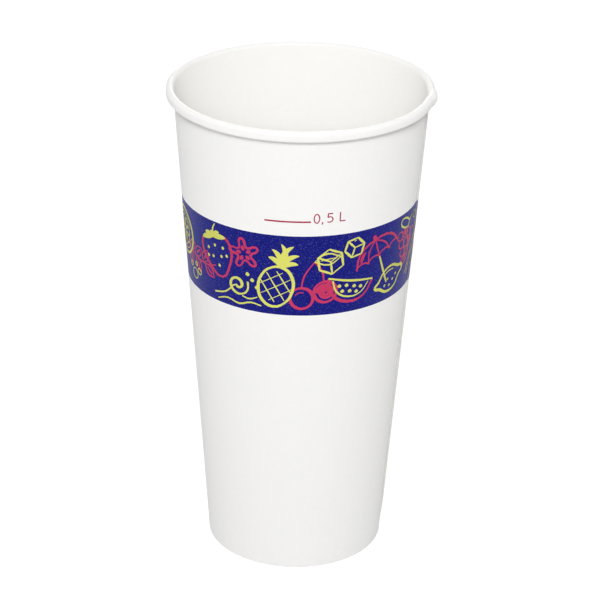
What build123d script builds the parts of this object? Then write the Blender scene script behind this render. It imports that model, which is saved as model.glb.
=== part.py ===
from build123d import *
import os
from math import acos, atan, ceil, cos, degrees, pi, sqrt, tan

# A tall paper cup for cold drinks, made from two blanks of coated board. The fan-shaped blank is
# wrapped into the leaning side wall, glued along a lap, curled outward at the top into the rolled
# rim, and folded inward at the foot round the skirt of the bottom disc.
# The origin is the centre of the foot on the table, +Z runs up to the mouth, and -Y is the printed front.

# Driving sizes of the cup, in millimetres
cup_height = 168.0
foot_diameter = 61.0
mouth_diameter = 84.7
wall_board = 0.35
bottom_board = 0.30

# Rolled rim, an oval curl that is higher than it is wide and turns in under itself
roll_width = 2.65
roll_height = 3.65
roll_gap = 0.12

# Foot, where the wall folds in and up round the disc's skirt
hem_height = 8.0
foot_bend = 0.25
glue_line = 0.02

# Bottom disc, held up inside the foot with its edge turned down
disc_recess = 10.0
disc_corner = 0.80
skirt_lift = 0.30

# Side lap: its outer edge lies in front of the cup's right side and the rest runs on behind it
lap_width = 6.5
lap_edge_angle = -12.0
lap_climb = 1.5
lap_foot_press = 2.0
lap_bulge_share = 0.9
inner_step = 0.15
spare = 1.0

# Every bend is drawn as flat facets that stray from its true arc by no more than the sag,
# and a facet shorter than the least length is left out
facet_sag = 0.31
facet_least = 0.15

# Values that follow from the sizes above
foot_radius = foot_diameter / 2
mouth_radius = mouth_diameter / 2
rim_radius = mouth_radius + roll_width
taper = (mouth_radius + wall_board - foot_radius) / cup_height
lean = atan(taper)
wall_middle = wall_board / 2
skirt_middle = wall_board + glue_line + bottom_board / 2
hem_middle = wall_board + glue_line + bottom_board + glue_line + wall_board / 2
roll_crown = cup_height - wall_board / 2
roll_under = cup_height - roll_height + wall_board / 2
roll_outer_leg = rim_radius - wall_board / 2
beside_wall = -(wall_board / 2 + roll_gap)


def wall_radius(height, depth=0.0):
    """Radius at a height of the cone that lies a depth of board inside the wall's outer face."""
    return foot_radius + taper * height - depth / cos(lean)


def full_bend(span, wall_turn):
    """Bend radius that rounds the whole way from an upright leg to one along the leaning wall."""
    return 0.999 * span / (1 + tan(wall_turn / 2))


def crown_bend():
    """Radius of the board's middle line over the top of the roll."""
    return full_bend(roll_outer_leg - wall_radius(roll_crown, wall_middle), pi / 2 - lean)


def under_bend():
    """Radius of the board's middle line under the roll, where it turns up beside the wall."""
    return full_bend(roll_outer_leg - wall_radius(roll_under, beside_wall), pi / 2 + lean)


def lap_turn():
    """Angle of the lap's middle line, half a lap behind its outer edge at mid height."""
    return lap_edge_angle + degrees(atan(lap_width / 2 / wall_radius(cup_height / 2)))


def facet_count(edge):
    """How many flat facets an edge of a section is drawn with: one if straight, more round a bend."""
    if edge.geom_type == GeomType.LINE:
        return 1
    facet_turn = 2 * acos(max(1 - facet_sag / edge.radius, 0))
    return ceil(edge.length / edge.radius / facet_turn)


def board_section(points, bends, board):
    """A strip of board on the axial plane, along the straight runs and bends of its middle line."""
    middle_line = FilletPolyline(*points, radius=bends)
    strip = trace(middle_line, line_width=board)
    corners = []
    for edge in strip.face().outer_wire().order_edges():
        facets = facet_count(edge)
        for step in range(facets):
            corner = edge @ (step / facets)
            if not corners or (corner - corners[-1]).length > facet_least:
                corners.append(corner)
    return Plane.XZ * make_face(Polyline(*corners, close=True))


def turned(section):
    """A section turned once round the cup's axis."""
    return revolve(section, Axis.Z)


def lap_prism(outline, bottom, top):
    """A plan outline at the lap (x outward, y round the cup) that rises and leans with the wall."""
    start = Pos(taper * bottom, 0, bottom) * make_face(Polyline(*outline, close=True))
    rise = extrude(start, amount=(top - bottom) / cos(lean), dir=(taper, 0, 1))
    return Rot(0, 0, lap_turn()) * rise


def chord(radius, offset):
    """Distance from the axis, along the lap's middle line, of a circle's point at a sideways offset."""
    return sqrt(radius**2 - offset**2)


def wall_sheet():
    """The side blank's section: hem, foot fold, leaning wall and the spiral of the rolled rim."""
    foot = wall_board / 2
    inner_crown = roll_crown - wall_board - roll_gap
    points = [
        (wall_radius(hem_height, hem_middle), hem_height),
        (wall_radius(foot, hem_middle), foot),
        (wall_radius(foot, wall_middle), foot),
        (wall_radius(roll_crown, wall_middle), roll_crown),
        (roll_outer_leg, roll_crown),
        (roll_outer_leg, roll_under),
        (wall_radius(roll_under, beside_wall), roll_under),
        (wall_radius(inner_crown, beside_wall), inner_crown),
    ]
    bends = [foot_bend] * 2 + [crown_bend()] * 2 + [under_bend()] * 2
    return turned(board_section(points, bends, wall_board))


def lap_layer():
    """The blank's second layer, glued over the first from the pressed foot up into the roll."""
    bottom = lap_foot_press
    top = cup_height - roll_height / 2
    outline = Polyline(
        (wall_radius(bottom, wall_middle), bottom),
        (wall_radius(bottom, -wall_board), bottom),
        (wall_radius(top, -wall_board), top),
        (wall_radius(top, wall_middle), top),
        close=True,
    )
    layer = turned(Plane.XZ * make_face(outline))
    half = lap_width / 2
    climbed = half + lap_climb
    inside = foot_radius - wall_board - spare
    outside = foot_radius + wall_board + spare
    slab = lap_prism(
        [
            (inside, -half),
            (outside, -half),
            (outside, half),
            (chord(foot_radius + wall_board, half), half),
            (chord(foot_radius, climbed), climbed),
            (inside, climbed),
        ],
        bottom=0,
        top=cup_height,
    )
    return layer & slab


def roll_bulge():
    """The outer leg of the roll where both layers of the lap curl, pushed out by the second one."""
    push = lap_bulge_share * wall_board
    points = [
        (wall_radius(roll_crown, wall_middle) + crown_bend(), roll_crown),
        (roll_outer_leg + push, roll_crown),
        (roll_outer_leg + push, roll_under),
        (rim_radius - under_bend() - wall_board, roll_under),
    ]
    skin = turned(board_section(points, [crown_bend(), under_bend()], wall_board))
    half = lap_width / 2
    eased = half + lap_climb
    bottom = cup_height - roll_height - spare
    lean_in = taper * bottom
    outline = [
        (mouth_radius, -eased),
        (chord(rim_radius, eased), -eased),
        (chord(rim_radius + push, half), -half),
        (rim_radius + push + spare, -half),
        (rim_radius + push + spare, half),
        (mouth_radius, half),
    ]
    slab = lap_prism([(x - lean_in, y) for x, y in outline], bottom, cup_height + spare)
    return skin & slab


def inner_seam():
    """The shallow wedge inside the wall where the blank climbs over its own inner edge."""
    half = lap_width / 2
    climbed = half + lap_climb
    inner_face = foot_radius - wall_board / cos(lean)
    outline = [
        (chord(inner_face, half) - inner_step, half),
        (chord(inner_face, half) + inner_step, half),
        (chord(inner_face, climbed), climbed),
    ]
    return lap_prism(outline, disc_recess + bottom_board, cup_height - roll_height)


def side_wall():
    """The whole side blank as wrapped, glued, curled and folded."""
    return wall_sheet() + lap_layer() + roll_bulge() - inner_seam()


def bottom_disc():
    """The round blank: a flat floor and a skirt turned down inside the wall."""
    floor = disc_recess + bottom_board / 2
    skirt_end = wall_board + skirt_lift
    points = [
        (0, floor),
        (wall_radius(floor, skirt_middle), floor),
        (wall_radius(skirt_end, skirt_middle), skirt_end),
    ]
    return turned(board_section(points, disc_corner, bottom_board))


pieces = {"side_wall": side_wall, "bottom_disc": bottom_disc}
os.makedirs("parts", exist_ok=True)
for name, build_piece in pieces.items():
    export_step(build_piece(), "parts/" + name + ".step")
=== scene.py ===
from math import atan, atan2, ceil, cos, hypot, pi, radians, sin, tan

import bpy
from mathutils import Matrix, Vector


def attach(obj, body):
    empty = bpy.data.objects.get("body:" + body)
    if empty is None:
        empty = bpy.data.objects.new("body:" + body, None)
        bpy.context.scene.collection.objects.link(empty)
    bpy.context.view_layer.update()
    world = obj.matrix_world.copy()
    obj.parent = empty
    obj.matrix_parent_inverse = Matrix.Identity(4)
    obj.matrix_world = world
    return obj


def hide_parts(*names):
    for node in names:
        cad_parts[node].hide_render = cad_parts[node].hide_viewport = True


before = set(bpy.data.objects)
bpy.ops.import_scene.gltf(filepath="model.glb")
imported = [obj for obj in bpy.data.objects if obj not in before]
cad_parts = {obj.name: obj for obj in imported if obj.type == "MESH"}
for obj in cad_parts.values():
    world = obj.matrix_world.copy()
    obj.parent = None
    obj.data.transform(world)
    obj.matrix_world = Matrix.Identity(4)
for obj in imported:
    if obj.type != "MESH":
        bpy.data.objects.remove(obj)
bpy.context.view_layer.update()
bpy.context.scene.view_settings.view_transform = "Standard"


# Camera of the photograph: it looks down at the cup from the front, through a long lens, and leans
# a little to one side. Its place was found from the outlines of the rim, the foot and the sides.
MM = 0.001
camera_distance = 840.5 * MM
camera_elevation = radians(25.14)
camera_lean = radians(0.965)
camera_lens = 145.97
sensor_width = 36.0
aim = Vector((0.72, 0, 88.99)) * MM

bpy.ops.object.select_all(action="DESELECT")
back_off = Vector((0, -cos(camera_elevation), sin(camera_elevation))) * camera_distance
bpy.ops.object.camera_add(location=aim + back_off)
camera = bpy.context.object
camera.name = "photo_camera"
camera.data.lens = camera_lens
camera.data.sensor_width = sensor_width
camera.data.clip_start = 0.01
camera.data.clip_end = 20
look = (aim - camera.location).to_track_quat("-Z", "Y").to_matrix()
camera.rotation_euler = (look @ Matrix.Rotation(camera_lean, 3, "Z")).to_euler()
bpy.context.scene.camera = camera


# Studio floor: backdrop paper, a matt pale sheet laid flat. A glow that only the camera and sharp
# reflections see lifts it to white, and it keeps the soft shadow that the cup throws.
def linear(hex_colour):
    """A colour written as sRGB hex, as the linear values that a shader takes."""
    parts = [int(hex_colour[i : i + 2], 16) / 255 for i in (1, 3, 5)]
    return [c / 12.92 if c <= 0.04045 else ((c + 0.055) / 1.055) ** 2.4 for c in parts] + [1]


def add_node(tree, kind, settings=None, links=None):
    """Adds a shader node, sets its properties or sockets, and joins its inputs to other outputs."""
    made = tree.nodes.new(kind)
    for key, value in (settings or {}).items():
        if isinstance(key, str) and hasattr(made, key):
            setattr(made, key, value)
        else:
            made.inputs[key].default_value = value
    for key, output in (links or {}).items():
        tree.links.new(output, made.inputs[key])
    return made


def new_material(name):
    """An empty node material and its tree."""
    made = bpy.data.materials.new(name)
    made.use_nodes = True
    made.node_tree.nodes.clear()
    return made, made.node_tree


floor_size = 6.0
floor_grain = 10 / 9
floor_glow = 0.80
bpy.ops.mesh.primitive_plane_add(size=floor_size, location=(0, 0, 0))
floor = bpy.context.object
floor.name = "studio_floor"
floor_paper, tree = new_material("white_backdrop_paper")
grain = add_node(tree, "ShaderNodeTexNoise", {"Scale": 1 / (floor_grain * MM), "Detail": 3.0})
greys = {"data_type": "RGBA", 6: linear("#B2B2B2"), 7: linear("#B8B8B8")}
tint = add_node(tree, "ShaderNodeMix", greys, {0: grain.outputs["Fac"]})
sheet = add_node(tree, "ShaderNodeBsdfDiffuse", {}, {"Color": tint.outputs[2]})
glow = add_node(tree, "ShaderNodeEmission", {"Color": (1, 1, 1, 1), "Strength": floor_glow})
path = add_node(tree, "ShaderNodeLightPath")
rays = {0: path.outputs["Is Camera Ray"], 1: path.outputs["Is Glossy Ray"]}
seen = add_node(tree, "ShaderNodeMath", {"operation": "MAXIMUM"}, rays).outputs[0]
lit = add_node(tree, "ShaderNodeAddShader", {}, {0: sheet.outputs[0], 1: glow.outputs[0]})
ends = {1: sheet.outputs[0], 2: lit.outputs[0]}
chosen = add_node(tree, "ShaderNodeMixShader", {}, {0: seen, **ends})
add_node(tree, "ShaderNodeOutputMaterial", {}, {0: chosen.outputs[0]})
floor.data.materials.append(floor_paper)


# Studio light: a white room that only the camera sees, an even fill, a strong soft box above the
# camera, and two weak ones overhead and behind. The cup's sides turn grey only near its outline.
fill_strength = 0.37
world = bpy.data.worlds.new("white_room")
bpy.context.scene.world = world
world.use_nodes = True
tree = world.node_tree
tree.nodes.clear()
plain_white = {"Color": (1, 1, 1, 1)}
fill_light = add_node(tree, "ShaderNodeBackground", {**plain_white, "Strength": fill_strength})
white_wall = add_node(tree, "ShaderNodeBackground", {**plain_white, "Strength": 1.0})
path = add_node(tree, "ShaderNodeLightPath")
ends = {1: fill_light.outputs[0], 2: white_wall.outputs[0]}
chosen = add_node(tree, "ShaderNodeMixShader", {}, {0: path.outputs["Is Camera Ray"], **ends})
add_node(tree, "ShaderNodeOutputWorld", {}, {0: chosen.outputs[0]})


def soft_lamp(name, place, aim_at, size, power):
    """A square soft box that faces a point. Places and size are in metres, its power in watts."""
    bpy.ops.object.light_add(type="AREA", location=place)
    lamp = bpy.context.object
    lamp.name = name
    lamp.data.shape = "SQUARE"
    lamp.data.size = size
    lamp.data.energy = power
    lamp.rotation_euler = (Vector(aim_at) - Vector(place)).to_track_quat("-Z", "Y").to_euler()


soft_lamp("front_soft_box", (-0.04, -1.5, 1.04), (0, 0, 0.09), 0.7, 20.2)
soft_lamp("overhead_soft_box", (0, -0.3, 1.0), (0, 0, 0.1), 2.0, 1.0)
soft_lamp("back_soft_box", (0, 1.6, 0.2), (0, 0, 0.06), 0.36, 8.5)


# Side wall: one fan-shaped blank of white cup board, coated on both faces, wrapped into a cone and
# sealed along a lap. Its top edge is curled out and down into the rim, and its bottom edge is
# folded in and up as the hem, whose inner face is knurled where it was pressed on the disc's skirt.
cup_height = 168.0
foot_radius = 30.5
mouth_radius = 42.35
rim_radius = 44.98
wall_board = 0.35
roll_height = 3.65
roll_gap = 0.12
hem_height = 8.0
foot_bend = 0.25
glue_line = 0.02
least_step = 0.02
bend_steps = 9
wall_run = 5.0
bend_fill = 0.999
bottom_board = 0.30
taper = (mouth_radius + wall_board - foot_radius) / cup_height
lean = atan(taper)


def wall_radius(height, depth=0.0):
    """Radius of the cone that lies a depth inside the wall's outer face, at a height, in mm."""
    return foot_radius + taper * height - depth / cos(lean)


def rounded(points, bends, per_quarter, run):
    """A path on the axial plane with its corners rounded in steps, and its long runs divided."""
    places = [Vector(p) for p in points]
    out = [places[0]]
    for here, bend, before, after in zip(places[1:-1], bends, places, places[2:]):
        into, away = (here - before).normalized(), (after - here).normalized()
        turn = into.angle(away)
        reach = bend * tan(turn / 2)
        start = here - into * reach
        side = 1 if into.x * away.y - into.y * away.x > 0 else -1
        centre = start + Vector((-into.y, into.x)) * bend * side
        steps = max(2, round(per_quarter * turn / (pi / 2)))
        for step in range(steps + 1):
            swing = side * turn * step / steps
            spoke = start - centre
            across = spoke.x * cos(swing) - spoke.y * sin(swing)
            up = spoke.x * sin(swing) + spoke.y * cos(swing)
            out.append(centre + Vector((across, up)))
    out.append(places[-1])
    divided = [out[0]]
    for point in out[1:]:
        start = divided[-1]
        gap = point - start
        pieces = max(1, ceil(gap.length / run))
        if gap.length > least_step:
            divided += [start + gap * (piece / pieces) for piece in range(1, pieces + 1)]
    return divided


def full_bend(span, wall_turn):
    """Bend radius that rounds as good as the whole way across the roll."""
    return bend_fill * span / (1 + tan(wall_turn / 2))


def sheet_line():
    """Middle line of the side blank, from the hem's top, round the foot and up into the roll."""
    half = wall_board / 2
    hem = wall_board + glue_line + bottom_board + glue_line + half
    beside = -(half + roll_gap)
    crown = cup_height - half
    under = cup_height - roll_height + half
    outer = rim_radius - half
    inner_crown = crown - wall_board - roll_gap
    points = [
        (wall_radius(hem_height, hem), hem_height),
        (wall_radius(half, hem), half),
        (wall_radius(half, half), half),
        (wall_radius(crown, half), crown),
        (outer, crown),
        (outer, under),
        (wall_radius(under, beside), under),
        (wall_radius(inner_crown, beside), inner_crown),
    ]
    top_bend = full_bend(outer - wall_radius(crown, half), pi / 2 - lean)
    low_bend = full_bend(outer - wall_radius(under, beside), pi / 2 + lean)
    bends = [foot_bend] * 2 + [top_bend] * 2 + [low_bend] * 2
    return rounded(points, bends, bend_steps, wall_run)


def draw_path(name, path):
    """A chain of edges on the XZ plane, extruded point by point from one vertex."""
    bpy.ops.object.select_all(action="DESELECT")
    bpy.ops.mesh.primitive_plane_add(size=0.001, location=(0, 0, 0))
    made = bpy.context.object
    made.name = made.data.name = name
    bpy.ops.object.mode_set(mode="EDIT")
    bpy.ops.mesh.select_all(action="SELECT")
    bpy.ops.mesh.merge(type="CENTER")
    places = [Vector((p.x, 0, p.y)) * MM for p in path]
    bpy.ops.transform.translate(value=places[0])
    for before, place in zip(places, places[1:]):
        bpy.ops.mesh.extrude_region_move(TRANSFORM_OT_translate={"value": place - before})
    bpy.ops.mesh.select_all(action="SELECT")
    return made


# The lap is glued flat and is pressed to one thickness at the foot. Where the board is double the
# roll bulges, and beside that stiffer place the rim is pulled inward.
lap_width = 6.5
lap_climb = 1.5
lap_middle = radians(-7.16)
lap_bulge = 0.31
bulge_start = 1.6
layer_step = wall_board + 0.01
foot_press = 6.0
hem_points = 8
wall_columns = 336
knurl_depth = 0.06
knurl_start = 1.0
pinch_depth = 0.45
pinch_near = 5.5
pinch_far = 22.0
pinch_drop = 12.0
pinch_level = 2.0


def eased(share):
    """A smooth step from nought to one."""
    share = min(max(share, 0), 1)
    return share * share * (3 - 2 * share)


def wrap_sheet(sheet, line):
    """Makes a spun ring the wrapped blank: more than a full turn, with its end over its start."""
    count = len(line)
    around = [line[min(i + 1, count - 1)] - line[max(i - 1, 0)] for i in range(count)]
    normals = [Vector((step.y, -step.x)).normalized() for step in around]
    fold_end = next(i for i, p in enumerate(line) if i > hem_points and p.y > hem_height)
    from_fold = [0.0] * count
    for i in range(fold_end, count):
        from_fold[i] = from_fold[i - 1] + (line[i] - line[i - 1]).length
    order = {(round(p.x, 3), round(p.y, 3)): i for i, p in enumerate(line)}
    for vertex in sheet.data.vertices:
        flat = Vector((hypot(vertex.co.x, vertex.co.y), vertex.co.z)) / MM
        spot = order.get((round(flat.x, 3), round(flat.y, 3)))
        if spot is None:
            spot = min(range(count), key=lambda i: (line[i] - flat).length)
        point = line[spot]
        column = vertex.index // count
        here = wall_radius(point.y)
        half = lap_width / 2 / here
        turn = (2 * pi + 2 * half) * column / wall_columns
        angle = lap_middle + half - turn
        over = eased(1 - max((2 * pi - turn) * here, 0) / lap_climb)
        place = point + normals[spot] * over * layer_step * eased(from_fold[spot] / foot_press)
        if point.y > cup_height - roll_height and spot > fold_end:
            across = (point.x - here) / (rim_radius - here)
            nearby = 1 - eased((turn * here - lap_width) / lap_climb)
            place.x += lap_bulge * nearby * eased(across * bulge_start)
        if spot < fold_end and point.x < wall_radius(point.y, wall_board * 2):
            place.x += knurl_depth * (0.5 if column % 2 else -0.5) * eased(point.y - knurl_start)
        if spot > fold_end:
            aside = abs((angle - lap_middle + pi) % (2 * pi) - pi) * here
            pinched = eased(aside / pinch_near) * (1 - eased((aside - pinch_near) / pinch_far))
            rise = (point.y - cup_height + pinch_drop) / (pinch_drop - pinch_level)
            place.x -= pinch_depth * pinched * eased(rise)
        level = max(place.y, wall_board / 2)
        vertex.co = Vector((place.x * cos(angle), place.x * sin(angle), level)) * MM


def finish_sheet(made, board, materials):
    """Gives a sheet its board thickness, its coated faces and its raw cut edge, and smooths it."""
    bpy.ops.object.select_all(action="DESELECT")
    made.select_set(True)
    bpy.context.view_layer.objects.active = made
    bpy.ops.object.mode_set(mode="EDIT")
    bpy.ops.mesh.select_all(action="SELECT")
    bpy.ops.mesh.normals_make_consistent(inside=False)
    bpy.ops.object.mode_set(mode="OBJECT")
    for material in materials:
        made.data.materials.append(material)
    thick = made.modifiers.new("board", "SOLIDIFY")
    thick.thickness = board * MM
    thick.offset = 0
    thick.material_offset_rim = 1
    bpy.ops.object.modifier_apply(modifier="board")
    bpy.ops.object.shade_smooth_by_angle(angle=radians(40))


# The board is white cup stock, polyethylene coated on both faces: a smooth satin skin over paper
# fibre, whose faint cloudiness and tooth still show. Paper scatters light roughly, so it stays
# even in tone almost to the outline. The outer face is a cold white, the inner one a little
# creamier and painted lighter too, painted light that lifts the shade inside the cup. The blue
# band is a flat field of offset ink on the outer face alone, with pinholes
# where the board shows through the screen. Fibre and pinholes are coarser than real ones, which
# would be too fine to show.
band_bottom = 101.04
band_top = 130.37
cloud_size = 1.6
fibre_size = 0.22
screen_size = 0.42
tooth_depth = 0.02
outer_gloss = 0.15
paper_scatter = 0.6
times = {"operation": "MULTIPLY"}
mix = {"data_type": "RGBA"}


def grain_pattern(tree, size, detail=2.0, stretch=(1, 1, 1)):
    """Noise whose lumps are a size in mm, in the place of the piece itself."""
    where = add_node(tree, "ShaderNodeTexCoord").outputs["Object"]
    scale = add_node(tree, "ShaderNodeMapping", {"Scale": stretch}, {"Vector": where})
    lumps = {"Scale": 1 / (size * MM), "Detail": detail}
    return add_node(tree, "ShaderNodeTexNoise", lumps, {"Vector": scale.outputs[0]}).outputs["Fac"]


def in_band(tree, height):
    """One within the printed band's height, and nought elsewhere."""
    from_bottom = {"operation": "GREATER_THAN", 1: band_bottom * MM}
    to_top = {"operation": "LESS_THAN", 1: band_top * MM}
    above = add_node(tree, "ShaderNodeMath", from_bottom, {0: height}).outputs[0]
    below = add_node(tree, "ShaderNodeMath", to_top, {0: height}).outputs[0]
    return add_node(tree, "ShaderNodeMath", times, {0: above, 1: below}).outputs[0]


coated_board, tree = new_material("coated_cup_board")
where = add_node(tree, "ShaderNodeTexCoord").outputs["Object"]
east, north, height = add_node(tree, "ShaderNodeSeparateXYZ", {}, {0: where}).outputs
level = add_node(tree, "ShaderNodeCombineXYZ", {}, {"X": east, "Y": north}).outputs[0]
length = add_node(tree, "ShaderNodeVectorMath", {"operation": "LENGTH"}, {0: level})
radius = length.outputs["Value"]
# The middle of the board, which parts its two faces, steps out by one layer at the lap.
slope = {"operation": "MULTIPLY_ADD", 1: taper, 2: (foot_radius - wall_board / 2) * MM}
mid_board = add_node(tree, "ShaderNodeMath", slope, {0: height}).outputs[0]
around = add_node(tree, "ShaderNodeMath", {"operation": "ARCTAN2"}, {0: north, 1: east})
past_lap = {"operation": "SUBTRACT", 1: lap_middle}
from_lap = add_node(tree, "ShaderNodeMath", past_lap, {0: around.outputs[0]}).outputs[0]
aside = add_node(tree, "ShaderNodeMath", times, {0: from_lap, 1: radius}).outputs[0]
climb_ends = {"From Min": (lap_width / 2 + lap_climb) * MM, "From Max": lap_width / 2 * MM}
climb = add_node(tree, "ShaderNodeMapRange", climb_ends, {"Value": aside}).outputs[0]
from_end = {"operation": "GREATER_THAN", 1: -lap_width / 2 * MM}
on_lap = add_node(tree, "ShaderNodeMath", from_end, {0: aside}).outputs[0]
lifted = add_node(tree, "ShaderNodeMath", times, {0: climb, 1: on_lap}).outputs[0]
step_out = {"operation": "MULTIPLY_ADD", 1: layer_step * MM}
mid_sheet = add_node(tree, "ShaderNodeMath", step_out, {0: lifted, 2: mid_board}).outputs[0]
beyond = {0: radius, 1: mid_sheet}
outside = add_node(tree, "ShaderNodeMath", {"operation": "GREATER_THAN"}, beyond).outputs[0]
print_area = {0: in_band(tree, height), 1: outside}
printed = add_node(tree, "ShaderNodeMath", times, print_area).outputs[0]
cloud = grain_pattern(tree, cloud_size, 3.0)
fibre = grain_pattern(tree, fibre_size, 2.0, (1, 1, 0.4))
outer_tones = {**mix, 6: linear("#F4F4F2"), 7: linear("#F9F8F7")}
# The inner face is painted lighter than the outer one: painted light that lifts the shade inside
# the cup.
inner_tones_lifted_for_shade = {**mix, 6: linear("#F9F8F5"), 7: linear("#FDFCFA")}
outer_white = add_node(tree, "ShaderNodeMix", outer_tones, {0: cloud}).outputs[2]
inner_white_lifted_for_shade = add_node(tree, "ShaderNodeMix", inner_tones_lifted_for_shade, {0: cloud}).outputs[2]
both_faces = {0: outside, 6: inner_white_lifted_for_shade, 7: outer_white}
white = add_node(tree, "ShaderNodeMix", mix, both_faces).outputs[2]
screen = {"Value": grain_pattern(tree, screen_size)}
pinhole_ends = {"From Min": 0.56, "From Max": 0.72, "To Max": 0.42}
pinholes = add_node(tree, "ShaderNodeMapRange", pinhole_ends, screen).outputs[0]
blue_tones = {**mix, 6: linear("#040A70"), 7: linear("#0F1586")}
full_blue = add_node(tree, "ShaderNodeMix", blue_tones, {0: cloud}).outputs[2]
pierced = {**mix, 7: linear("#6C74BE")}
blue = add_node(tree, "ShaderNodeMix", pierced, {0: pinholes, 6: full_blue}).outputs[2]
face = add_node(tree, "ShaderNodeMix", mix, {0: printed, 6: white, 7: blue}).outputs[2]
sheen_ends = {"To Min": 0.40, "To Max": 0.50}
sheen = add_node(tree, "ShaderNodeMapRange", sheen_ends, {"Value": cloud}).outputs[0]
bump = {"Strength": 0.12, "Distance": tooth_depth * MM}
tooth = add_node(tree, "ShaderNodeBump", bump, {"Height": fibre}).outputs[0]
skin = add_node(
    tree,
    "ShaderNodeBsdfPrincipled",
    {"IOR": 1.5, "Specular IOR Level": outer_gloss, "Diffuse Roughness": paper_scatter},
    {"Base Color": face, "Roughness": sheen, "Normal": tooth},
)
add_node(tree, "ShaderNodeOutputMaterial", {}, {0: skin.outputs[0]})

# Where the board is cut its edge is bare: uncoated, matt, a warmer white, with the layers of fibre.
# The end that laps over on the outside has drunk a little of the band's ink.
layer_size = 0.10
outer_end_from = -5.0
ink_drunk = 0.7

cut_board, tree = new_material("cut_board_edge")
layers = grain_pattern(tree, layer_size, 2.0, (1, 1, 0.3))
where = add_node(tree, "ShaderNodeTexCoord").outputs["Object"]
east, north, height = add_node(tree, "ShaderNodeSeparateXYZ", {}, {0: where}).outputs
below_end = {"operation": "LESS_THAN", 1: outer_end_from * MM}
outer_end = add_node(tree, "ShaderNodeMath", below_end, {0: north}).outputs[0]
inked_area = {0: in_band(tree, height), 1: outer_end}
inked = add_node(tree, "ShaderNodeMath", times, inked_area).outputs[0]
soaked = add_node(tree, "ShaderNodeMath", {**times, 1: ink_drunk}, {0: inked}).outputs[0]
core_tones = {**mix, 6: linear("#D6D4CC"), 7: linear("#E6E4DD")}
bare = add_node(tree, "ShaderNodeMix", core_tones, {0: layers}).outputs[2]
stained = {**mix, 7: linear("#3A3A7C")}
core = add_node(tree, "ShaderNodeMix", stained, {0: soaked, 6: bare}).outputs[2]
bump = {"Strength": 0.3, "Distance": tooth_depth * MM}
tooth = add_node(tree, "ShaderNodeBump", bump, {"Height": layers}).outputs[0]
look = {"Base Color": core, "Normal": tooth}
skin = add_node(tree, "ShaderNodeBsdfPrincipled", {"Roughness": 0.85}, look)
add_node(tree, "ShaderNodeOutputMaterial", {}, {0: skin.outputs[0]})

wall_line = sheet_line()
side_wall = draw_path("paper_side_wall", wall_line)
almost_round = 2 * pi * 0.999  # so that the ring's ends don't meet before it is wrapped
bpy.ops.mesh.spin(steps=wall_columns, angle=almost_round, center=(0, 0, 0), axis=(0, 0, 1))
bpy.ops.object.mode_set(mode="OBJECT")
wrap_sheet(side_wall, wall_line)
finish_sheet(side_wall, wall_board, [coated_board, cut_board])
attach(side_wall, "root")
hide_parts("side_wall")


# Bottom disc: a round blank of thinner cup board, drawn down into the foot so that its edge turns
# into a skirt, which the hem grips. It carries no print.
disc_recess = 10.0
disc_corner = 0.80
skirt_lift = 0.30
disc_columns = 192
disc_bend_steps = 8
disc_run = 4.0
same_place = 0.001


def disc_line():
    """Middle line of the disc, from its centre out, round the corner and down the skirt."""
    depth = wall_board + glue_line + bottom_board / 2
    floor_level = disc_recess + bottom_board / 2
    skirt_end = wall_board + skirt_lift
    points = [
        (0, floor_level),
        (wall_radius(floor_level, depth), floor_level),
        (wall_radius(skirt_end, depth), skirt_end),
    ]
    return rounded(points, [disc_corner], disc_bend_steps, disc_run)


# Its board is the same kind of stock, bare of print, a greyer white and a little shinier.
plain_board, tree = new_material("bottom_cup_board")
cloud = grain_pattern(tree, cloud_size, 3.0)
disc_tones = {**mix, 6: linear("#EBEAE3"), 7: linear("#F2F1EC")}
white = add_node(tree, "ShaderNodeMix", disc_tones, {0: cloud}).outputs[2]
sheen_ends = {"To Min": 0.45, "To Max": 0.6}
sheen = add_node(tree, "ShaderNodeMapRange", sheen_ends, {"Value": cloud}).outputs[0]
bump = {"Strength": 0.2, "Distance": tooth_depth * MM}
fibre = {"Height": grain_pattern(tree, fibre_size)}
tooth = add_node(tree, "ShaderNodeBump", bump, fibre).outputs[0]
look = {"Base Color": white, "Roughness": sheen, "Normal": tooth}
skin = add_node(tree, "ShaderNodeBsdfPrincipled", {"IOR": 1.5}, look)
add_node(tree, "ShaderNodeOutputMaterial", {}, {0: skin.outputs[0]})

bottom_disc = draw_path("paper_bottom_disc", disc_line())
bpy.ops.mesh.spin(steps=disc_columns, angle=2 * pi, center=(0, 0, 0), axis=(0, 0, 1))
bpy.ops.mesh.select_all(action="SELECT")
bpy.ops.mesh.remove_doubles(threshold=same_place * MM)
bpy.ops.object.mode_set(mode="OBJECT")
finish_sheet(bottom_disc, bottom_board, [plain_board, cut_board])
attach(bottom_disc, "root")
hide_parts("bottom_disc")


# Print on the band: brush lines in two offset inks over the blue field, drawn for this cup. Fruit,
# leaves, ice, waves and bubbles overlap in a row that comes twice round the cup. Each ink is a skin
# a few hundredths of a millimetre thick, and the row is cut where the blank's edge laps over.
ink_skin = 0.03
ink_sunk = 0.04
crimson_rise = 0.012
lemon_rise = 0.05
pen_slant = radians(35)
pen_weight = 0.84
pen_least = 0.55
taper_end = 0.1
fill_swell = 0.7
fill_tip = 0.12
rule_steps = 12
fill_shares = (0, 0.12, 0.3, 0.5, 0.7, 0.88, 1)
edge_cut = 0.08
film_side = 0.01
band_middle = (band_bottom + band_top) / 2
band_radius = wall_radius(band_middle)
row_length = pi * band_radius


def polar(far, degrees_round):
    """The point at a distance and a bearing from the origin."""
    return Vector((far * cos(radians(degrees_round)), far * sin(radians(degrees_round))))


def ring(x, y, across, tall=None, start=0, sweep=360):
    """Points of a loop, or of an arc of it, whose ends don't meet."""
    tall = across if tall is None else tall
    steps = max(3, round(abs(sweep) / 40))
    marks = []
    for step in range(steps if abs(sweep) == 360 else steps + 1):
        angle = radians(start + sweep * step / steps)
        marks.append((x + across * cos(angle), y + tall * sin(angle)))
    return marks


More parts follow.
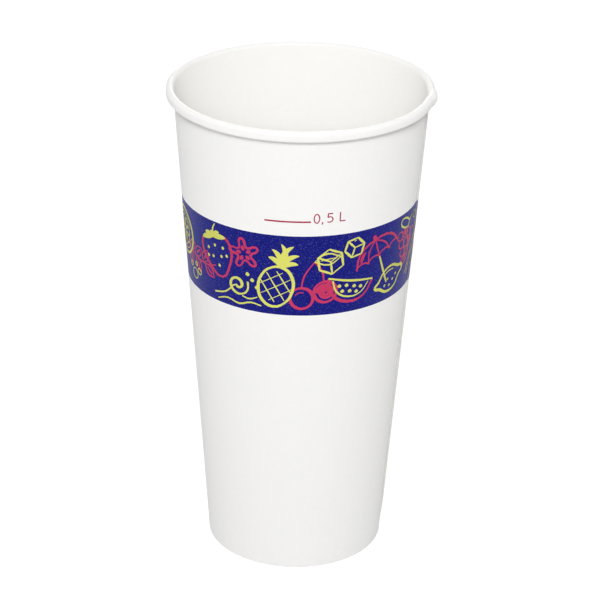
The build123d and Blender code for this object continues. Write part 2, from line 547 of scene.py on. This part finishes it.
def whirl(x, y, inner, outer, turns, start=0):
    """Points of a spiral from its middle out."""
    steps = round(turns * 8)
    marks = []
    for k in range(steps + 1):
        at = polar(inner + (outer - inner) * k / steps, start + 45 * k)
        marks.append((x + at.x, y + at.y))
    return marks


# Each motif is drawn in mm round its own middle. It gives its strokes one by one: which of the two
# inks (0 is its first), the points, the width, and the kind of stroke. A loop closes on itself, a
# line tapers at its ends, a fill swells in its middle, and a pen, rule or hoop keeps its width.
def citrus_slice():
    """Rind, pith and eight segments."""
    yield 0, ring(0, 0, 7.8), 1.5, "loop"
    yield 0, ring(0.2, 0, 6.2, start=20, sweep=330), 0.7, "line"
    for spoke in range(8):
        along = polar(1, 45 * spoke + 8)
        across = Vector((-along.y, along.x)) * 1.5
        segment = [along * 1.2, along * 4.0 + across, along * 5.1, along * 4.0 - across]
        yield 0, segment, 0.75, "loop"


def leaf_sprig():
    """A stalk with six leaves, each of two bowed sides and a vein."""
    yield 0, [(-9, -3), (-4, -1.4), (1, 0.4), (5, 3), (8, 6.4)], 0.9, "line"
    upper = ((-6, -2, 62), (-1.4, -0.4, 75), (3.2, 1.8, 96))
    lower = ((-5, -1.8, -50), (-0.6, -0.2, -32), (4.2, 2.4, -8))
    for x, y, lean_to in (leaf for pair in zip(upper, lower) for leaf in pair):
        foot = Vector((x, y))
        tip = polar(5.6, lean_to)
        side = Vector((-tip.y, tip.x)) * 0.3
        yield 0, [foot, foot + tip * 0.5 + side, foot + tip], 0.9, "line"
        yield 0, [foot, foot + tip * 0.5 - side, foot + tip], 0.9, "line"
        yield 0, [foot + tip * 0.2, foot + tip * 0.55, foot + tip * 0.8], 0.7, "fill"


def strawberry():
    """A berry with its seeds, five sepals and a stalk."""
    right = [(4.2, -4.2), (6.3, 1.2), (4.6, 5.2)]
    left = [(-x, y) for x, y in reversed(right)]
    yield 0, [(0, -8), *right, (0, 5.4), *left], 1.3, "loop"
    upper = ((-3.2, 1.6), (0, 2.4), (3.2, 1.6))
    lower = ((-1.8, -1.2), (1.8, -1.2), (0, -4.2), (-4, -1), (4, -1))
    for x, y in upper + lower:
        yield 1, [(x, y + 0.6), (x, y), (x, y - 0.5)], 0.9, "fill"
    for swing in (-75, -35, 0, 35, 75):
        tip = Vector((5.4 * sin(radians(swing)), 3.4 * cos(radians(swing)) - 1.4))
        sepal = [(0, 5.2), Vector((0, 5.6)) + tip * 0.5, Vector((0, 5.4)) + tip]
        yield 1, sepal, 1.7, "fill"
    yield 1, [(0, 5.4), (0.8, 8), (2.2, 9.6)], 0.9, "line"


def sea_wave():
    """A breaking curl, two swells and some drops."""
    curl = list(reversed(whirl(2.2, 1.4, 0.6, 4.6, 1.5, start=200)))
    yield 0, curl + [(-3.6, -2.6), (-9.4, -4.0)], 1.5, "line"
    yield 0, [(-8, -6.2), (-3, -5.0), (2, -6.4), (7, -5.2), (11, -6.2)], 1.0, "line"
    yield 0, [(3.6, -3.0), (6.4, -3.8), (9.8, -2.8)], 0.9, "line"
    for x, y in ((8.2, 3.8), (9.8, 1.0), (6.6, 6.0)):
        yield 0, [(x, y + 0.9), (x + 0.1, y), (x, y - 0.7)], 1.2, "fill"


def pineapple():
    """A round body crossed by slanting lines, under a tuft of leaves."""
    yield 0, ring(0, -3.2, 5.2, 6.8), 1.4, "loop"
    for shift in (-4.4, 0, 4.4):
        reach = (3.6 if shift else 4.6) * 0.8
        for side in (1, -1):
            middle = Vector((side * shift * 0.45, -3.2 + shift * 0.5))
            arm = Vector((reach, -side * reach))
            yield 0, [middle - arm, middle, middle + arm], 0.6, "line"
    crown = Vector((0, 3.2))
    for swing, far in ((-62, 5.0), (-38, 6.6), (-14, 8.0), (12, 8.2), (36, 6.8), (60, 5.2)):
        tip = polar(far, 90 - swing)
        bow = Vector((tip.y, -tip.x)) * (0.16 if swing > 0 else -0.16)
        yield 0, [crown, crown + tip * 0.55 - bow, crown + tip], 1.5, "fill"


def cherries():
    """Two cherries on one stalk with a leaf, one of them shaded with a spiral."""
    for x, y in ((-3.6, -4.6), (3.8, -3.4)):
        yield 0, ring(x, y, 3.5), 1.4, "loop"
        yield 0, [(x - 1.8, y + 1.2), (x - 0.6, y + 2.0), (x + 0.8, y + 1.8)], 0.7, "line"
    yield 0, whirl(3.8, -3.4, 0.2, 2.7, 2.5), 1.25, "pen"
    yield 0, [(-3.4, -1.2), (-2.0, 3.0), (1.4, 7.2)], 0.9, "line"
    yield 0, [(3.6, 0), (3.4, 3.6), (1.4, 7.2)], 0.9, "line"
    yield 1, [(1.4, 7.2), (5.2, 9.4), (9.4, 7.6)], 0.9, "line"
    yield 1, [(1.4, 7.2), (5.6, 5.6), (9.4, 7.6)], 0.9, "line"
    yield 1, [(3.2, 7.3), (5.6, 7.5), (7.6, 7.5)], 0.6, "line"


def ice_cube(x, y, side, turn):
    """A cube seen from a corner: six outer edges, three inner ones and a glint."""
    corners = [polar(side, 60 * k + 30 + turn) for k in range(6)]
    middle = Vector((x, y))
    for here, after in zip(corners, corners[1:] + corners[:1]):
        edge = [middle + here * 1.02, middle + (here + after) / 2, middle + after * 1.02]
        yield 0, edge, 1.1, "line"
    for corner in corners[::2]:
        yield 0, [middle + corner, middle + corner * 0.5, middle], 0.9, "line"
    upper, lower = corners[1], corners[2]
    glint = [middle + upper * 0.7 + lower * 0.1, middle + upper * 0.45 + lower * 0.3]
    yield 0, glint, 0.7, "line"


def ice_cubes():
    """A large cube and a small one."""
    yield from ice_cube(-3.6, -1.4, 4.6, 8)
    yield from ice_cube(4.6, 2.6, 3.6, -16)


def paper_parasol():
    """An open shade with a scalloped hem and ribs, on its stick."""
    yield 0, ring(0, 0, 9, 6.6, start=0, sweep=180), 1.4, "line"
    for x in (-6.75, -2.25, 2.25, 6.75):
        yield 0, ring(x, 0, 2.25, 1.3, start=180, sweep=-180), 1.0, "line"
    for x in (-4.5, 0, 4.5):
        yield 0, [(x, 0.3), (x * 0.72, 3.6), (0, 6.6)], 0.8, "line"
    yield 0, [(0, 6.4), (0, 7.4), (0, 8.4)], 1.4, "fill"
    yield 1, [(0, 0), (0.1, -5), (0.4, -11)], 1.0, "line"
    yield 0, [(-6.9, 1.5), (-5.9, 3.3), (-4.2, 4.6)], 1.1, "fill"


def whole_lemon():
    """A lemon with pores in its rind, and a leaf."""
    upper = [(-8.6, 0), (-6.4, 1.5), (-3, 4.6), (2, 5.0), (5.8, 2.4), (8.6, 0.8)]
    lower = [(8.4, -0.8), (6.0, -1.8), (2.4, -4.8), (-3, -4.6), (-6.4, -1.6)]
    yield 0, upper + lower, 1.4, "loop"
    yield 0, [(-3.6, 2.6), (-0.6, 3.6), (2.6, 3.0)], 0.8, "line"
    for x, y in ((-3.4, -1.6), (-0.8, -2.8), (1.6, -1.4), (3.8, -0.2), (-1.4, 0.4)):
        yield 0, ring(x, y, 0.35), 0.45, "loop"
    yield 1, [(8.4, 0.4), (11, 4), (15, 4.6)], 1.0, "line"
    yield 1, [(8.4, 0.4), (13, 0.4), (15, 4.6)], 1.0, "line"
    yield 1, [(9.8, 1.4), (11.8, 2.6), (13.6, 3.6)], 0.9, "fill"


def grapes():
    """A bunch in four rows, with a stalk, a tendril and a leaf."""
    upper = ((-4.8, 3.2), (-1.6, 3.8), (1.6, 3.4), (4.8, 3.0))
    lower = ((-3.2, 0.4), (0, 0.4), (3.2, 0.2), (-1.6, -2.6), (1.6, -2.8), (0, -5.6))
    for x, y in upper + lower:
        yield 0, ring(x, y, 1.5), 0.75, "loop"
    for x, y in ((-1.6, 3.8), (3.2, 0.2)):
        yield 0, whirl(x, y, 0.1, 0.9, 1.5), 0.9, "pen"
    yield 1, [(0, 5.2), (0.4, 7.4), (2.0, 9.2)], 1.0, "line"
    yield 1, whirl(5.4, 8.0, 0.4, 1.9, 1.25, start=100), 0.7, "line"
    yield 1, [(0.4, 6.6), (-2.2, 8.8), (-5.6, 8.2), (-4.2, 6.2)], 1.0, "loop"


def melon_wedge():
    """A half round of rind and flesh with pips."""
    yield 0, ring(0, 3.4, 9.2, 8.6, start=180, sweep=180), 1.6, "line"
    yield 1, ring(0, 3.4, 7.4, 6.6, start=186, sweep=168), 0.9, "line"
    yield 1, [(-9.2, 3.6), (0, 3.2), (9.2, 3.6)], 1.2, "line"
    upper = ((-4.4, 0.8), (-1.6, 1.2), (1.6, 1.0), (4.4, 0.8))
    for x, y in upper + ((-2.8, -1.2), (0.2, -1.0), (3.0, -1.2)):
        yield 1, [(x, y + 0.8), (x, y), (x, y - 0.6)], 1.2, "fill"


def drinking_straw():
    """A bent straw with slanting stripes."""
    for shift in (0, 2.0):
        side = [(x + shift, y) for x, y in ((-1.2, -10), (-0.6, -2), (0, 4.2), (0.8, 6.2))]
        yield 0, side + [(4.6 + shift * 0.4, 8.6 - shift * 0.9)], 0.9, "line"
    for k in range(7):
        y = -9.2 + 2.0 * k
        stripe = [(x + 0.09 * k, y + rise) for x, rise in ((-1.0, 0), (0.1, 0.7), (1.0, 1.2))]
        yield 1, stripe, 0.9, "line"


def star_fruit():
    """A five-pointed slice with a seed in each point."""
    points = [90 + 72 * k for k in range(5)]
    tips = ((6.6, -7), (6.6, 7), (3.0, 36))
    yield 0, [polar(far, point + swing) for point in points for far, swing in tips], 1.2, "loop"
    for point in points:
        yield 0, [polar(far, point) for far in (1.2, 2.4, 3.6)], 1.2, "fill"


def bubbles():
    """Four bubbles of as many sizes."""
    for x, y, across in ((0, 0, 1.9), (3.4, 1.8, 1.1), (1.4, 4.0, 0.7), (-2.6, 2.8, 0.9)):
        yield 0, ring(x, y, across), 0.65, "loop"


motifs = [
    # motif, place along the row, height in the band, size, turn, first ink
    (citrus_slice, -52.0, 3.6, 1.05, 0, "lemon"),
    (bubbles, -43.6, -9.4, 1.0, 0, "lemon"),
    (leaf_sprig, -41.0, -2.4, 1.05, -34, "crimson"),
    (strawberry, -29.6, 3.4, 1.08, 14, "crimson"),
    (sea_wave, -23.0, -7.2, 0.92, 4, "lemon"),
    (star_fruit, -18.4, 6.2, 0.8, 10, "crimson"),
    (pineapple, -6.6, -0.8, 1.12, -15, "lemon"),
    (cherries, 4.6, -2.8, 1.1, 6, "crimson"),
    (ice_cubes, 14.2, 6.4, 1.0, 0, "lemon"),
    (melon_wedge, 17.8, -6.0, 0.92, -10, "crimson"),
    (paper_parasol, 29.2, 3.2, 1.08, 20, "crimson"),
    (whole_lemon, 35.6, -7.0, 0.88, 14, "lemon"),
    (grapes, 44.6, 2.6, 1.08, -8, "crimson"),
    (drinking_straw, 52.0, -0.6, 1.05, -24, "lemon"),
    (star_fruit, 60.8, 6.6, 0.8, 24, "crimson"),
    (bubbles, 58.6, -7.4, 0.9, 60, "lemon"),
]


def outer_face(angle, height):
    """Radius of the wall's outer face, with the second layer's step at the lap."""
    here = wall_radius(height)
    along = ((angle - lap_middle + pi) % (2 * pi) - pi) * here
    over = 0 if along < -lap_width / 2 else eased(1 - (along - lap_width / 2) / lap_climb)
    return here + over * layer_step


def ink_piece(name, marks, base, spread, level, ink):
    """Lays brush lines, drawn flat in mm, round the cone as a thin skin of one ink."""
    drawing = bpy.data.curves.new(name, "CURVE")
    drawing.dimensions = "3D"
    drawing.twist_mode = "Z_UP"
    drawing.bevel_depth = 1.0
    drawing.bevel_resolution = 0
    drawing.resolution_u = 3
    drawing.use_fill_caps = True
    for points, width, kind in marks:
        places = [Vector(p) for p in points]
        if kind == "fill":
            first, middle, last = places
            bow = 2 * middle - (first + last) / 2
            places = [
                first * (1 - share) ** 2 + bow * 2 * share * (1 - share) + last * share * share
                for share in fill_shares
            ]
        if kind == "rule":
            divided = [
                start + (end - start) * k / rule_steps
                for start, end in zip(places, places[1:])
                for k in range(rule_steps)
            ]
            places = divided + places[-1:]
        spline = drawing.splines.new("BEZIER")
        spline.bezier_points.add(len(places) - 1)
        closed = kind in ("loop", "hoop")
        spline.use_cyclic_u = closed
        for k, (knot, place) in enumerate(zip(spline.bezier_points, places)):
            knot.co = (place.x, place.y, 0)
            knot.handle_left_type = knot.handle_right_type = "VECTOR" if kind == "rule" else "AUTO"
            run = places[(k + 1) % len(places) if closed else min(k + 1, len(places) - 1)]
            run = run - places[k - 1 if closed else max(k - 1, 0)]
            share = k / max(len(places) - 1, 1)
            across = abs(sin(atan2(run.y, run.x) - pen_slant))
            slant = pen_least + (1 - pen_least) * across
            inner_share = min(max(share, taper_end), 1 - taper_end)
            taper_off = pen_least + (1 - pen_least) * sin(pi * inner_share)
            if kind == "fill":
                knot.radius = width * fill_swell * (fill_tip + (1 - fill_tip) * sin(pi * share))
            elif kind in ("pen", "rule", "hoop"):
                knot.radius = width / 2
            elif kind == "line":
                knot.radius = width / 2 * slant * taper_off
            else:
                knot.radius = width / 2 * slant
    piece = bpy.data.objects.new(name, drawing)
    bpy.context.collection.objects.link(piece)
    bpy.ops.object.select_all(action="DESELECT")
    piece.select_set(True)
    bpy.context.view_layer.objects.active = piece
    bpy.ops.object.convert(target="MESH")
    piece = bpy.context.object
    piece.name = piece.data.name = name
    edge = (lap_middle + pi / 2) * spread - lap_width / 2
    bpy.ops.object.mode_set(mode="EDIT")
    for shift in (-edge_cut, edge_cut):
        bpy.ops.mesh.select_all(action="SELECT")
        bpy.ops.mesh.bisect(plane_co=(edge + shift, 0, 0), plane_no=(1, 0, 0))
    bpy.ops.mesh.select_mode(type="FACE")
    bpy.ops.mesh.select_all(action="DESELECT")
    bpy.ops.object.mode_set(mode="OBJECT")
    for face in piece.data.polygons:
        face.select = abs(face.center.x - edge) < edge_cut
    bpy.ops.object.mode_set(mode="EDIT")
    bpy.ops.mesh.delete(type="FACE")
    bpy.ops.mesh.select_mode(type="VERT")
    bpy.ops.mesh.select_all(action="SELECT")
    bpy.ops.mesh.fill_holes(sides=0)
    bpy.ops.mesh.select_all(action="SELECT")
    bpy.ops.mesh.normals_make_consistent(inside=False)
    bpy.ops.object.mode_set(mode="OBJECT")
    for vertex in piece.data.vertices:
        along, up, proud = vertex.co
        angle, height = along / spread - pi / 2, level + up * cos(lean)
        top = base + (ink_skin if proud > film_side else 0)
        skin = -ink_sunk if proud < -film_side else top
        far = outer_face(angle, height) + skin
        vertex.co = Vector((far * cos(angle), far * sin(angle), height)) * MM
    piece.data.materials.append(ink)
    bpy.ops.object.shade_smooth_by_angle(angle=radians(60))
    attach(piece, "root")


def offset_ink(name, dark, light):
    """Offset printing ink: a thin even film, a little glossier than the board, faintly mottled."""
    made, tree = new_material(name)
    mottle = grain_pattern(tree, screen_size)
    tones = {**mix, 6: linear(dark), 7: linear(light)}
    colour = add_node(tree, "ShaderNodeMix", tones, {0: mottle}).outputs[2]
    gloss_ends = {"To Min": 0.34, "To Max": 0.46}
    gloss = add_node(tree, "ShaderNodeMapRange", gloss_ends, {"Value": mottle}).outputs[0]
    settings = {"IOR": 1.5, "Specular IOR Level": outer_gloss}
    look = {"Base Color": colour, "Roughness": gloss}
    film = add_node(tree, "ShaderNodeBsdfPrincipled", settings, look)
    add_node(tree, "ShaderNodeOutputMaterial", {}, {0: film.outputs[0]})
    return made


marks = {"lemon": [], "crimson": []}
for row in (0, row_length):
    for motif, along, up, size, turn, first in motifs:
        second = "crimson" if first == "lemon" else "lemon"
        middle = Vector((along + row, up))
        turned = Matrix.Rotation(radians(turn), 2)
        for which, points, width, kind in motif():
            placed = [middle + turned @ (Vector(point) * size) for point in points]
            marks[second if which else first].append((placed, width * pen_weight, kind))

on_band = (band_radius, band_middle)
crimson_ink = offset_ink("crimson_offset_ink", "#C42E58", "#D84470")
ink_piece("print_crimson_lines", marks["crimson"], crimson_rise, *on_band, crimson_ink)
# The lemon ink is printed last, over the crimson.
lemon_ink = offset_ink("lemon_offset_ink", "#DCDC62", "#EEEE7C")
ink_piece("print_lemon_lines", marks["lemon"], lemon_rise, *on_band, lemon_ink)


# Fill mark: the plain printed line and figures for half a litre, above the band at the front. It is
# one film of dark crimson offset ink, with strokes of an even width.
mark_height = 135.6
mark_pen = 0.42
line_pen = 0.58
figures = [
    ([(-11.38, 0), (3.86, 0)], line_pen, "rule"),
    (ring(5.76, 1.16, 0.88, 1.58), mark_pen, "hoop"),
    ([(7.72, -0.12), (7.66, -0.55), (7.46, -1.0)], mark_pen, "rule"),
    ([(11.02, 2.76), (9.50, 2.76), (9.38, 1.42)], mark_pen, "rule"),
    (
        [(9.38, 1.42), (10.2, 1.62), (10.95, 1.1), (10.98, 0.3), (10.3, -0.26), (9.2, -0.2)],
        mark_pen,
        "pen",
    ),
    ([(13.52, 2.95), (13.52, -0.28), (15.35, -0.28)], mark_pen, "rule"),
]
mark_ink = offset_ink("dark_crimson_offset_ink", "#A62A48", "#B83652")
mark_radius = wall_radius(mark_height)
ink_piece("print_fill_mark", figures, crimson_rise, mark_radius, mark_height, mark_ink)
